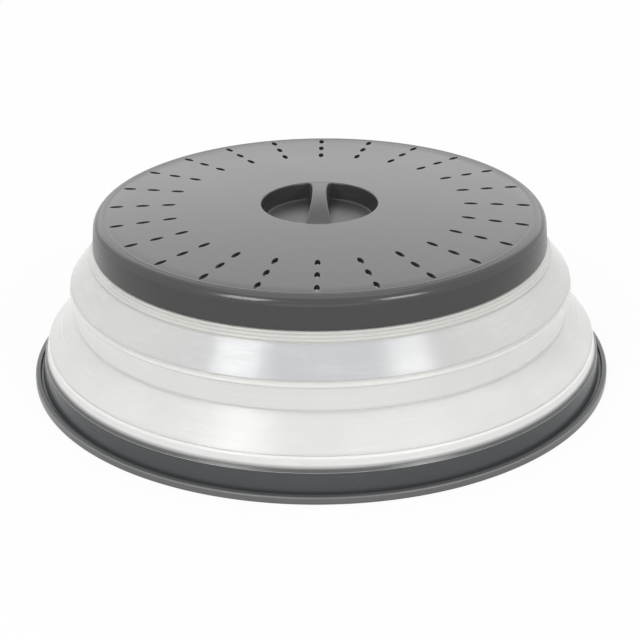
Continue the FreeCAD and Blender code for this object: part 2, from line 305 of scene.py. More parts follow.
@dataclass
class Graph:
    """A node tree and short ways to add and join its nodes.

    Args:
        tree: the tree to work in.
    """

    tree: bpy.types.NodeTree

    def add(self, kind: str, inputs: dict | None = None, **settings: object) -> bpy.types.Node:
        """Add a node.

        Args:
            kind: the node's type, without its ShaderNode prefix.
            inputs: for a socket's name or number, a socket to link from or a plain value.
            settings: attributes of the node.

        Returns:
            The new node.
        """
        node = self.tree.nodes.new("ShaderNode" + kind)
        for key, setting in settings.items():
            setattr(node, key, setting)
        for key, given in (inputs or {}).items():
            if isinstance(given, Socket):
                self.tree.links.new(given, node.inputs[key])
            else:
                node.inputs[key].default_value = given
        return node

    def maths(self, operation: str, *terms: float | Socket) -> Socket:
        """Add a Math node and return its output."""
        return self.add("Math", dict(enumerate(terms)), operation=operation).outputs[0]

    def stretch(self, given: Socket, low: float, high: float, to_low: float = 0.0,
                to_high: float = 1.0) -> Socket:
        """Map a value from one range to another, held at both ends."""
        sockets = {"Value": given, "From Min": low, "From Max": high, "To Min": to_low, "To Max": to_high}
        return self.add("MapRange", sockets, clamp=True).outputs[0]

    def mix(self, share: float | Socket, first: Paint | Socket, second: Paint | Socket) -> Socket:
        """Mix two colours and return the result."""
        node = self.add("Mix", {0: share, 6: first, 7: second}, data_type="RGBA")
        return node.outputs[2]

    def weigh(self, first: Socket, second: Socket, share: float) -> Socket:
        """Add two values, with a share of the first and the rest of the second."""
        return self.maths("ADD", self.maths("MULTIPLY", first, share),
                          self.maths("MULTIPLY", second, 1.0 - share))

    def place(self) -> Socket:
        """Object coordinates of the shaded point."""
        return self.add("TexCoord").outputs["Object"]

    def height(self) -> Socket:
        """Height of the shaded point above the floor."""
        return self.add("SeparateXYZ", {0: self.place()}).outputs[2]

    def flat(self) -> Socket:
        """Object coordinates of the shaded point, laid flat on the floor."""
        level = (1.0, 1.0, 0.0)
        return self.add("VectorMath", {0: self.place(), 1: level}, operation="MULTIPLY").outputs[0]

    def radius(self) -> Socket:
        """Distance of the shaded point from the vertical axis."""
        return self.add("VectorMath", {0: self.flat()}, operation="LENGTH").outputs["Value"]

    def around(self, reach: float | Socket) -> Socket:
        """Direction of the shaded point from the vertical axis, as long as a given reach."""
        round_it = self.add("VectorMath", {0: self.flat()}, operation="NORMALIZE").outputs[0]
        return self.add("VectorMath", {0: round_it, "Scale": reach}, operation="SCALE").outputs[0]

    def noise(self, where: Socket, scale: float | Socket, detail: float,
              roughness: float = 0.5) -> Socket:
        """Smooth noise.

        Args:
            where: the place that it is read at.
            scale: how fine it is.
            detail: how many finer layers it has.
            roughness: how strong those layers are.

        Returns:
            The noise's value.
        """
        sockets = {"Vector": where, "Scale": scale, "Detail": detail, "Roughness": roughness}
        return self.add("TexNoise", sockets).outputs[0]


def new_group(name: str, inputs: dict[str, float],
              outputs: list[str]) -> tuple[Graph, dict, bpy.types.Node]:
    """Start a shader node group with named value sockets.

    Args:
        name: the group's name.
        inputs: each input's name and default.
        outputs: the outputs' names.

    Returns:
        The group's graph, its input sockets by name, and its output node.
    """
    tree = bpy.data.node_groups.new(name, "ShaderNodeTree")
    for label, default in inputs.items():
        socket = tree.interface.new_socket(label, in_out="INPUT", socket_type="NodeSocketFloat")
        socket.default_value = default
    for label in outputs:
        tree.interface.new_socket(label, in_out="OUTPUT", socket_type="NodeSocketFloat")
    entry = tree.nodes.new("NodeGroupInput")
    leave = tree.nodes.new("NodeGroupOutput")
    return Graph(tree), {label: entry.outputs[label] for label in inputs}, leave


def moulded_skin_group() -> bpy.types.NodeTree:
    """Build the fine skin of a moulding: grain to bump, and a slow unevenness of tone.

    Returns:
        The group's tree.
    """
    scales = {"Grain Scale": 2200.0, "Tone Scale": 28.0}
    graph, given, leave = new_group("moulded_skin", scales, ["Grain", "Tone"])
    place = graph.place()
    grain = graph.noise(place, given["Grain Scale"], 2.0, 0.55)
    tone = graph.noise(place, given["Tone Scale"], 4.0, 0.6)
    graph.tree.links.new(grain, leave.inputs["Grain"])
    graph.tree.links.new(graph.stretch(tone, 0.3, 0.7), leave.inputs["Tone"])
    return graph.tree


def turning_marks_group() -> bpy.types.NodeTree:
    """Build the faint rings that a turned mould leaves, running round the vertical axis.

    Returns:
        The group's tree.
    """
    graph, given, leave = new_group("turning_marks", {"Pitch": 0.6 * MM, "Drift": 2.0}, ["Marks"])
    along = graph.maths("DIVIDE", graph.maths("SUBTRACT", graph.radius(), graph.height()), given["Pitch"])
    line = graph.add("CombineXYZ", {2: along}).outputs[0]
    where = graph.add("VectorMath", {0: graph.around(given["Drift"]), 1: line}, operation="ADD").outputs[0]
    marks = graph.noise(where, 1.0, 3.0, 0.65)
    graph.tree.links.new(graph.stretch(marks, 0.25, 0.75), leave.inputs["Marks"])
    return graph.tree


def handling_group() -> bpy.types.NodeTree:
    """Build the marks of use: short fine scuffs, and a few specks of dust.

    Returns:
        The group's tree.
    """
    graph, given, leave = new_group("handling", {"Scuffs": 0.3, "Specks": 0.3}, ["Scuff", "Speck"])
    scuffs: list[Socket] = []
    lines = (60.0, 1900.0, 900.0)
    for turn_z, offset in ((0.5, 0.0), (-0.9, 7.0), (1.9, 3.0)):
        mapping = graph.add("Mapping", {"Vector": graph.place(), "Location": (offset, offset, offset),
                                        "Rotation": (0.2, 0.1, turn_z), "Scale": lines})
        scuffs.append(graph.stretch(graph.noise(mapping.outputs[0], 1.0, 1.0), 0.70, 0.80))
    both = graph.maths("MAXIMUM", graph.maths("MAXIMUM", scuffs[0], scuffs[1]), scuffs[2])
    graph.tree.links.new(graph.maths("MULTIPLY", both, given["Scuffs"]), leave.inputs["Scuff"])
    cells = graph.add("TexVoronoi", {"Vector": graph.place(), "Scale": 210.0, "Randomness": 1.0})
    dots = graph.stretch(cells.outputs["Distance"], 0.035, 0.06, 1.0, 0.0)
    lot = graph.add("SeparateColor", {0: cells.outputs["Color"]}).outputs[0]
    chosen = graph.maths("GREATER_THAN", lot, 0.93)
    specks = graph.maths("MULTIPLY", graph.maths("MULTIPLY", dots, chosen), given["Specks"])
    graph.tree.links.new(specks, leave.inputs["Speck"])
    return graph.tree


def smears_group() -> bpy.types.NodeTree:
    """Build pale smears that run round the piece, broken up into patches.

    Returns:
        The group's tree.
    """
    graph, given, leave = new_group("smears", {"Amount": 0.3}, ["Smear"])
    up = graph.add("CombineXYZ", {2: graph.maths("MULTIPLY", graph.height(), 900.0)}).outputs[0]
    where = graph.add("VectorMath", {0: graph.around(7.0), 1: up}, operation="ADD").outputs[0]
    streaks = graph.noise(where, 1.0, 4.0, 0.6)
    patches = graph.noise(graph.place(), 45.0, 3.0, 0.6)
    both = graph.maths("MULTIPLY", graph.stretch(streaks, 0.42, 0.68), graph.stretch(patches, 0.42, 0.66))
    graph.tree.links.new(graph.maths("MULTIPLY", both, given["Amount"]), leave.inputs["Smear"])
    return graph.tree


@dataclass
class Effects:
    """The effects that several finishes share, each built once."""

    skin: bpy.types.NodeTree = field(default_factory=moulded_skin_group)
    marks: bpy.types.NodeTree = field(default_factory=turning_marks_group)
    handling: bpy.types.NodeTree = field(default_factory=handling_group)
    smears: bpy.types.NodeTree = field(default_factory=smears_group)


def shade(colour: Colour, factor: float = 1.0) -> Paint:
    """A colour made lighter or darker, with full alpha."""
    return (colour[0] * factor, colour[1] * factor, colour[2] * factor, 1.0)


# ---------------------------------------------------------------------------------------------
# Finishes
# ---------------------------------------------------------------------------------------------


@dataclass(frozen=True)
class StiffPlastic:
    """Satin grey polypropylene.

    Args:
        name: the material's name.
        colour: its base colour.
        roughness: its middle roughness.
        gloss: its specular level.
        specks: how strongly dust shows.
        matt_radius: radius inside which it is rougher, or None where it is even.
        painted_sheen_radius: radius outside which it is painted paler as a reflection, or None where it
            isn't.
        painted_highlight_height: height of a painted highlight line, where that paler colour is strongest.
    """

    name: str
    colour: Colour
    roughness: float = 0.3
    gloss: float = 0.5
    specks: float = 0.35
    matt_radius: float | None = None
    painted_sheen_radius: float | None = None
    painted_highlight_height: float = 0.0

    def material(self, effects: Effects) -> bpy.types.Material:
        """Build the material.

        Args:
            effects: the shared shader groups.

        Returns:
            The new material.
        """
        material = bpy.data.materials.new(self.name)
        material.use_nodes = True
        graph = Graph(material.node_tree)
        surface = graph.tree.nodes["Principled BSDF"]
        surface.inputs["Specular IOR Level"].default_value = self.gloss
        skin = graph.add("Group", node_tree=effects.skin).outputs
        marks = graph.add("Group", {"Pitch": 0.9 * MM}, node_tree=effects.marks).outputs["Marks"]
        use = graph.add("Group", {"Scuffs": 0.12, "Specks": self.specks}, node_tree=effects.handling).outputs
        tone = graph.weigh(skin["Tone"], marks, 0.6)
        colour = graph.mix(tone, shade(self.colour, 0.93), shade(self.colour, 1.07))
        colour = graph.mix(use["Scuff"], colour, shade(self.colour, 1.35))
        colour = graph.mix(use["Speck"], colour, DUST)
        # Painted reflection: the lip is mixed towards a paler grey, with a painted highlight line along its
        # top edge.
        if self.painted_sheen_radius is not None:
            colour = graph.mix(self.painted_sheen(graph, marks), colour, PAINTED_SHEEN_GREY)
        graph.tree.links.new(colour, surface.inputs["Base Color"])
        graph.tree.links.new(self.rough(graph, tone, use["Scuff"]), surface.inputs["Roughness"])
        height = graph.weigh(skin["Grain"], marks, 0.85)
        bump = graph.add("Bump", {"Strength": 0.25, "Distance": 0.03 * MM, "Height": height})
        graph.tree.links.new(bump.outputs[0], surface.inputs["Normal"])
        return material

    def rough(self, graph: Graph, tone: Socket, scuff: Socket) -> Socket:
        """Roughness: uneven with the tone, higher on scuffs and where the mould is matt.

        Args:
            graph: the material's graph.
            tone: the unevenness, from 0 to 1.
            scuff: strength of the scuffs.

        Returns:
            The roughness.
        """
        spread, scuffed, matt, edge = 0.04, 0.2, 0.16, 0.5 * MM
        rough = graph.stretch(tone, 0.0, 1.0, self.roughness - spread, self.roughness + spread)
        rough = graph.maths("ADD", rough, graph.maths("MULTIPLY", scuff, scuffed))
        if self.matt_radius is None:
            return rough
        inside = graph.stretch(graph.radius(), self.matt_radius - edge, self.matt_radius, matt, 0.0)
        return graph.maths("ADD", rough, inside)

    def painted_sheen(self, graph: Graph, marks: Socket) -> Socket:
        """Share of the painted reflection: faint outside a radius, and strong along its upper edge as a
        painted highlight line.

        Args:
            graph: the material's graph.
            marks: the turning marks, which make it uneven.

        Returns:
            The share.
        """
        faint, strong = 0.38, 0.75
        outside = graph.stretch(graph.radius(), self.painted_sheen_radius, self.painted_sheen_radius + 0.25 * MM)
        off_edge = graph.maths("ABSOLUTE", graph.maths("SUBTRACT", graph.height(), self.painted_highlight_height))
        edge = graph.stretch(off_edge, 0.1 * MM, 0.3 * MM, strong, faint)
        uneven = graph.stretch(marks, 0.0, 1.0, 0.8, 1.1)
        return graph.maths("MULTIPLY", graph.maths("MULTIPLY", outside, edge), uneven)


@dataclass(frozen=True)
class SoftRubber:
    """Glossy milky rubber, a little translucent.

    Args:
        name: the material's name.
        colour: its base colour.
        roughness: its middle roughness.
        under: colour of what shows through where the rubber is thin.
        edge: height of a painted highlight, a thin light line along its free edge.
        thin_foot: height at which it is thinnest, or None where it is thick all over.
        thin_head: height at which nothing shows through any more.
        painted_side_colour: its lighter, warmer colour at the left and right, painted light standing in for
            how light and reflection fall on the sides, or None where it is even.
        smears: how strongly pale smears show.
    """

    name: str
    colour: Colour
    roughness: float = 0.24
    under: Colour = (0.10, 0.105, 0.10)
    edge: float = 0.0
    thin_foot: float | None = None
    thin_head: float = 0.0
    painted_side_colour: Colour | None = None
    smears: float = 0.0

    def material(self, effects: Effects) -> bpy.types.Material:
        """Build the material.

        Args:
            effects: the shared shader groups.

        Returns:
            The new material.
        """
        material = bpy.data.materials.new(self.name)
        material.use_nodes = True
        graph = Graph(material.node_tree)
        surface = graph.tree.nodes["Principled BSDF"]
        surface.inputs["Subsurface Weight"].default_value = 0.35
        surface.inputs["Subsurface Radius"].default_value = (1.0, 1.0, 1.0)
        surface.inputs["Subsurface Scale"].default_value = 2.5 * MM
        scales = {"Grain Scale": 1500.0, "Tone Scale": 22.0}
        skin = graph.add("Group", scales, node_tree=effects.skin).outputs
        lines = {"Pitch": 0.6 * MM, "Drift": 2.5}
        marks = graph.add("Group", lines, node_tree=effects.marks).outputs["Marks"]
        tone = graph.weigh(skin["Tone"], marks, 0.5)
        graph.tree.links.new(self.tint(graph, tone, effects), surface.inputs["Base Color"])
        spread = 0.05
        rough = graph.stretch(marks, 0.0, 1.0, self.roughness - spread, self.roughness + spread)
        graph.tree.links.new(rough, surface.inputs["Roughness"])
        height = graph.weigh(skin["Grain"], marks, 0.2)
        bump = graph.add("Bump", {"Strength": 0.5, "Distance": 0.04 * MM, "Height": height})
        graph.tree.links.new(bump.outputs[0], surface.inputs["Normal"])
        return material

    def tint(self, graph: Graph, tone: Socket, effects: Effects) -> Socket:
        """Base colour: uneven, painted lighter at the sides, smeared, used, thin at its foot, and with a
        painted highlight line at its free edge.

        Args:
            graph: the material's graph.
            tone: the unevenness, from 0 to 1.
            effects: the shared shader groups.

        Returns:
            The colour.
        """
        colour = graph.mix(tone, shade(self.colour, 0.93), shade(self.colour, 1.05))
        # Painted light: the left and right are mixed towards a lighter, warmer colour, where light and
        # reflection fall differently from the front and back.
        if self.painted_side_colour is not None:
            colour = graph.mix(self.painted_side_share(graph), colour, shade(self.painted_side_colour))
        if self.smears:
            smear = graph.add("Group", {"Amount": self.smears}, node_tree=effects.smears)
            colour = graph.mix(smear.outputs["Smear"], colour, SMEAR_WHITE)
        use = graph.add("Group", {"Scuffs": 0.25, "Specks": 0.2}, node_tree=effects.handling).outputs
        colour = graph.mix(use["Scuff"], colour, shade(self.colour, 1.06))
        colour = graph.mix(use["Speck"], colour, shade(self.colour, 0.8))
        if self.thin_foot is None:
            return colour
        height = graph.height()
        thick = graph.stretch(height, self.thin_foot, self.thin_head)
        # Painted highlight: a thin light line along the free edge, where the darkening of the thin foot is
        # lifted.
        line = graph.stretch(height, self.edge, self.edge + 0.05 * MM, 0.45, 0.0)
        return graph.mix(graph.maths("MAXIMUM", thick, line), shade(self.under), colour)

    def painted_side_share(self, graph: Graph) -> Socket:
        """Share of the painted side light, which grows from the front and back to the sides.

        Args:
            graph: the material's graph.

        Returns:
            The share.
        """
        across = graph.add("SeparateXYZ", {0: graph.flat()}).outputs[0]
        share = graph.maths("DIVIDE", graph.maths("ABSOLUTE", across), graph.radius())
        return graph.stretch(share, 0.2, 0.75)


# ---------------------------------------------------------------------------------------------
# Sub-assemblies
# ---------------------------------------------------------------------------------------------


def place(piece: bpy.types.Object, body: Body, node: str, slot: Slot, finish: bpy.types.Material) -> None:
    """Give a rigid piece its finish and its body, and hide the CAD node that it stands for.

    Args:
        piece: the piece.
        body: the body that it rides on.
        node: the CAD node that it replaces.
        slot: its material slot; not used.
        finish: its material.
    """
    piece.data.materials.append(finish)
    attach(piece, body.value)
    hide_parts(node)
    log.info("%s rides on %s, %d faces", piece.name, body.value, len(piece.data.polygons))


@dataclass
class BaseRing:
    """The stiff ring that stands on the floor.

    Args:
        effects: the shared shader groups.
    """

    effects: Effects
    wall: float = 2.2 * MM
    lip_width: float = 2.5 * MM
    lip_height: float = 3.6 * MM
    lip_edge: float = 3.0 * MM
    gutter_width: float = 1.4 * MM
    gutter_floor: float = 2.1 * MM
    painted_sheen_width: float = 0.9 * MM
    seat: Seat = Seat()
    colour: Colour = (0.066, 0.070, 0.073)

    def build(self) -> bpy.types.Object:
        """Turn the ring from its outline.

        Returns:
            The ring.
        """
        ring, collar = Band("base_ring"), Band("lower_collar")
        lip_bore = ring.radius - self.lip_width
        wall_foot = lip_bore - self.gutter_width
        wall_head = collar.radius
        shoulder = collar.foot + self.seat.lap
        tongue = wall_head - self.seat.inset
        tongue_bore = tongue - self.seat.tongue_wall
        return turned_piece("ring", [
            Corner(wall_foot - self.wall, ring.foot, 0.4 * MM),
            Corner(ring.radius - 0.05 * MM, ring.foot, 0.5 * MM),
            Corner(ring.radius - 0.15 * MM, self.lip_edge, 0.4 * MM),
            Corner(lip_bore, self.lip_height, 0.5 * MM),
            Corner(lip_bore, self.gutter_floor, 0.3 * MM),
            Corner(wall_foot, self.gutter_floor, 0.4 * MM),
            Corner(wall_head, collar.foot, 0.12 * MM),
            Corner(wall_head - self.seat.lap_thickness, collar.foot),
            Corner(tongue, shoulder),
            Corner(tongue, ring.head, 0.2 * MM),
            Corner(tongue_bore, ring.head, 0.2 * MM),
            Corner(tongue_bore, shoulder),
            Corner(wall_head - self.wall, collar.foot, 0.5 * MM),
        ])

    def dress(self) -> None:
        """Build the ring and give it its finish and its body."""
        # The lip is painted paler as a reflection, with a painted highlight line along its top edge.
        finish = StiffPlastic(
            "ring_grey", self.colour, roughness=0.25, gloss=0.25,
            painted_sheen_radius=Band("base_ring").radius - self.painted_sheen_width,
            painted_highlight_height=self.lip_edge - 0.1 * MM,
        )
        place(self.build(), Body.BASE, "base_ring", Slot.RING, finish.material(self.effects))


@dataclass
class Bellows:
    """The soft moulding: two collars, two cones, which fold on the real cover, and the band between them.

    Args:
        effects: the shared shader groups.
    """

    effects: Effects
    film: float = 2.0 * MM
    fold_cuts: int = 22
    band_draft: float = 0.8 * MM
    head_lap: float = 6.0 * MM
    head_lap_wall: float = 1.9 * MM
    seat: Seat = Seat()
    skirt: Skirt = Skirt()
    # The bellows are one rubber, but each piece gets a lighter or darker copy of its colour: painted light
    # and shade. The upper film is darker and bluer as painted shade from the shaded inside under the plate
    # and the darker room it reflects; the lower film, the band and the foot are lighter as painted light
    # from the light reaching the lower tier.
    bead_finish: SoftRubber = SoftRubber("bellows_thick", (0.73, 0.726, 0.70))
    lit_foot_colour: Colour = (0.83, 0.825, 0.81)
    shaded_upper_film: SoftRubber = SoftRubber(
        "bellows_upper_film", (0.525, 0.533, 0.542), roughness=0.15,
        painted_side_colour=(0.622, 0.617, 0.592), smears=0.22,
    )
    head_finish: SoftRubber = SoftRubber("bellows_head", (0.60, 0.596, 0.568))
    lit_lower_film: SoftRubber = SoftRubber("bellows_lower_film", (0.712, 0.708, 0.682), smears=0.2)

    def lower_collar(self) -> None:
        """Foot of the bellows, thin where it laps over the ring's shoulder."""
        ring, collar, cone = Band("base_ring"), Band("lower_collar"), Band("lower_cone")
        shoulder = collar.foot + self.seat.lap
        tongue = collar.radius - self.seat.inset
        tongue_bore = tongue - self.seat.tongue_wall
        piece = turned_piece("collar_lower", [
            Corner(collar.radius + 0.06 * MM, collar.foot, 0.1 * MM),
            Corner(cone.radius + 1.35 * MM, shoulder - 0.25 * MM, 0.9 * MM),
            Corner(cone.radius + 1.0 * MM, shoulder + 1.5 * MM, 0.9 * MM),
            Corner(cone.radius + 0.75 * MM, collar.head - 0.75 * MM, 0.5 * MM),
            Corner(cone.radius - 0.15 * MM, collar.head - 0.45 * MM, 0.2 * MM),
            Corner(cone.radius, collar.head),
            Corner(cone.radius - self.film, collar.head),
            Corner(cone.radius - self.film, shoulder, 0.4 * MM),
            Corner(tongue_bore, shoulder),
            Corner(tongue_bore, ring.head, 0.2 * MM),
            Corner(tongue, ring.head, 0.2 * MM),
            Corner(tongue, shoulder),
            Corner(collar.radius - self.seat.lap_thickness, collar.foot),
        ])
        # The light line at the foot's free edge is a painted highlight.
        thin = SoftRubber("bellows_lap", self.lit_foot_colour, edge=collar.foot + 0.12 * MM,
                          thin_foot=shoulder - 0.7 * MM, thin_head=shoulder + 1.1 * MM)
        place(piece, Body.BASE, "lower_collar", Slot.BELLOWS, thin.material(self.effects))

    def cone(self, name: str, node: str, head_radius: float, below: Body, above: Body,
             finish: bpy.types.Material) -> None:
        """A cone between two bodies, baked in place and not attached to either.

        Args:
            name: the piece's name.
            node: the CAD node that it stands for.
            head_radius: its outer radius at the top.
            below: the body below it, named only in the log.
            above: the body above it, named only in the log.
            above: the body that its head follows.
            finish: its material.
        """
        cone = Band(node)
        piece = turned_piece(name, [
            Corner(cone.radius, cone.foot),
            Corner(head_radius, cone.head),
            Corner(head_radius - self.film, cone.head),
            Corner(cone.radius - self.film, cone.foot),
        ], {0: self.fold_cuts, 2: self.fold_cuts})
        piece.data.materials.append(finish)
        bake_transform(piece)
        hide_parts(node)
        log.info("%s bends between %s and %s", name, below.value, above.value)

    def mid_band(self, finish: bpy.types.Material) -> None:
        """Upright band between the cones, with its bead and the grooves at its hinge lines.

        Args:
            finish: its material.
        """
        band, cone = Band("mid_band"), Band("upper_cone")
        waist = cone.radius - self.band_draft
        ridge_head = band.head - 1.5 * MM
        ridge_foot = ridge_head - 1.7 * MM
        piece = turned_piece("band_middle", [
            Corner(waist, band.foot),
            Corner(waist - 0.4 * MM, band.foot + 0.4 * MM, 0.25 * MM),
            Corner(waist - 0.3 * MM, band.foot + 0.9 * MM, 0.3 * MM),
            Corner(waist + 0.3 * MM, band.foot + 1.5 * MM, 0.5 * MM),
            Corner(cone.radius - 0.35 * MM, ridge_foot - 0.2 * MM, 0.3 * MM),
            Corner(band.radius, ridge_foot + 0.35 * MM, 0.5 * MM),
            Corner(band.radius, ridge_head - 0.3 * MM, 0.5 * MM),
            Corner(cone.radius - 0.6 * MM, ridge_head + 0.2 * MM, 0.2 * MM),
            Corner(cone.radius - 0.6 * MM, band.head - 0.5 * MM, 0.3 * MM),
            Corner(cone.radius, band.head),
            Corner(cone.radius - self.film, band.head),
            Corner(waist - self.film, band.foot),
        ])
        place(piece, Body.MID_TIER, "mid_band", Slot.BELLOWS, finish)

    def upper_collar(self, finish: bpy.types.Material) -> None:
        """Head of the bellows: a bead, the ledge under the skirt, and the lap inside it.

        The two small ridges between the bead and the skirt are set out in steps, four across and
        five up.

        Args:
            finish: its material.
        """
        collar, plate = Band("upper_collar"), Band("top_plate")
        step = (plate.radius - collar.radius) / 4
        rise = (plate.foot - collar.foot) / 5
        bore = plate.radius - self.skirt.wall
        lap_radius = bore - self.skirt.draw_in(self.head_lap)
        piece = turned_piece("collar_upper", [
            Corner(collar.radius, collar.foot),
            Corner(collar.radius - 0.4 * MM, collar.foot + 0.4 * MM, 0.2 * MM),
            Corner(collar.radius - 0.05 * MM, collar.foot + 0.8 * MM, 0.3 * MM),
            Corner(collar.radius - 0.1 * MM, collar.foot + 1.5 * rise, 0.35 * MM),
            Corner(collar.radius + step * 1.2, collar.foot + 1.9 * rise, 0.15 * MM),
            Corner(collar.radius + step * 1.0, collar.foot + 2.3 * rise, 0.2 * MM),
            Corner(collar.radius + step * 1.3, collar.foot + 3.0 * rise, 0.3 * MM),
            Corner(collar.radius + step * 2.6, collar.foot + 3.3 * rise, 0.15 * MM),
            Corner(collar.radius + step * 2.3, collar.foot + 3.7 * rise, 0.2 * MM),
            Corner(collar.radius + step * 2.6, collar.foot + 4.3 * rise, 0.25 * MM),
            Corner(plate.radius - 0.4 * MM, plate.foot - 0.3 * MM, 0.1 * MM),
            Corner(plate.radius - 0.5 * MM, plate.foot),
            Corner(bore, plate.foot),
            Corner(lap_radius, collar.head, 0.2 * MM),
            Corner(lap_radius - self.head_lap_wall, collar.head, 0.4 * MM),
            Corner(bore - self.head_lap_wall, plate.foot, 0.8 * MM),
            Corner(collar.radius - self.film, collar.foot),
        ])
        place(piece, Body.LID, "upper_collar", Slot.BELLOWS, finish)

    def dress(self) -> None:
        """Build the soft pieces from the floor up."""
        self.lower_collar()
        waist = Band("upper_cone").radius - self.band_draft
        self.cone("cone_lower", "lower_cone", waist, Body.BASE, Body.MID_TIER,
                  self.lit_lower_film.material(self.effects))
        self.mid_band(self.bead_finish.material(self.effects))
        self.cone("cone_upper", "upper_cone", Band("upper_collar").radius, Body.MID_TIER, Body.LID,
                  self.shaded_upper_film.material(self.effects))
        self.upper_collar(self.head_finish.material(self.effects))


@dataclass(frozen=True)
class Vents:
    """Slots in rays round the plate.

    Args:
        rays: how many rays there are.
        rows: how many slots a ray has.
        length: a slot's length, along its ray.
        width: its width.
        pitch: from one slot of a ray to the next.
        margin: from the plate's shoulder in to the middle of the outermost slots.
    """

    rays: int = 24
    rows: int = 3
    length: float = 6.4 * MM
    width: float = 2.4 * MM
    pitch: float = 11.9 * MM
    margin: float = 9.6 * MM


@dataclass(frozen=True)
class RimLines:
    """Fine steps where the domed field meets the shoulder, each a slope and a drop.

    Args:
        count: how many steps there are.
        inset: from the edge of the field in to the foot of the first.
        pitch: from one step to the next.
        slope: width of a step's slope.
        rise: height of a step.
        support: how close the points lie that keep the shading crisp at its corners.
    """

    count: int = 2
    inset: float = 0.9 * MM
    pitch: float = 0.85 * MM
    slope: float = 0.7 * MM
    rise: float = 0.15 * MM
    support: float = 0.06 * MM

    def corners(self, edge: float, level: float) -> list[Corner]:
        """Corners of the steps, from the innermost out.

        Args:
            edge: radius of the edge of the field.
            level: height of the field there.

        Returns:
            The corners, in order.
        """
        corners: list[Corner] = []
        for line in range(self.count):
            foot = edge - self.inset + line * self.pitch
            corners += [
                Corner(foot - self.support, level),
                Corner(foot, level),
                Corner(foot + self.slope, level + self.rise),
                Corner(foot + self.slope + self.support, level + self.rise),
                Corner(foot + self.pitch - self.support / 2, level),
            ]
        return corners


@dataclass(frozen=True)
class Grip:
    """The bar across the finger recess.

    Args:
        waist: its width in the middle.
        ends: its width at the recess's wall, before the flare.
        flare: radius of the fillet between its sides and the wall.
        drop: how far its crest lies below the plate's highest point.
        embed: how far its ends stand in the wall.
        rounding: rounds along its crest.
        cuts: how many times it is divided along its length.
    """

    waist: float = 6.5 * MM
    ends: float = 11.3 * MM
    flare: float = 2.0 * MM
    drop: float = 0.0
    embed: float = 1.0 * MM
    rounding: float = 0.8 * MM
    cuts: int = 63

    def half_width(self, along: float, up: float, wall: float) -> float:
        """Half the bar's width at a distance along it from the middle.

        Args:
            along: that distance.
            up: 0 at the foot and 1 at the crest, where the flare has died away.
            wall: radius of the recess.

        Returns:
            The half width.
        """
        share = min(abs(along) / wall, 1.0)
        half = self.waist / 2 + (self.ends - self.waist) / 2 * share ** 2
        near = min(max(self.flare - (wall - abs(along)), 0.0), self.flare)
        return half + (self.flare - math.sqrt(self.flare ** 2 - near ** 2)) * (1 - up ** 3)

    def arch(self, along: float, crest: float, wall: float, end: float) -> float:
        """Height of the crest at a distance along the bar.

        Args:
            along: that distance.
            crest: height of the middle.
            wall: radius of the recess.
            end: height where the bar meets the recess's rim.

        Returns:
            The height.
        """
        rise = crest - end
        ball = (wall ** 2 + rise ** 2) / (2 * rise)
        return crest - self.drop - ball + math.sqrt(ball ** 2 - along ** 2)

    def hollow(self, wall: float = 1.7 * MM) -> "Grip":
        """The space inside the bar, a wall's thickness smaller all round."""
        return Grip(waist=self.waist - 2 * wall, ends=self.ends - 2 * wall, flare=0.01 * MM, drop=wall,
                    embed=-wall, rounding=0.3 * MM, cuts=self.cuts // 2)


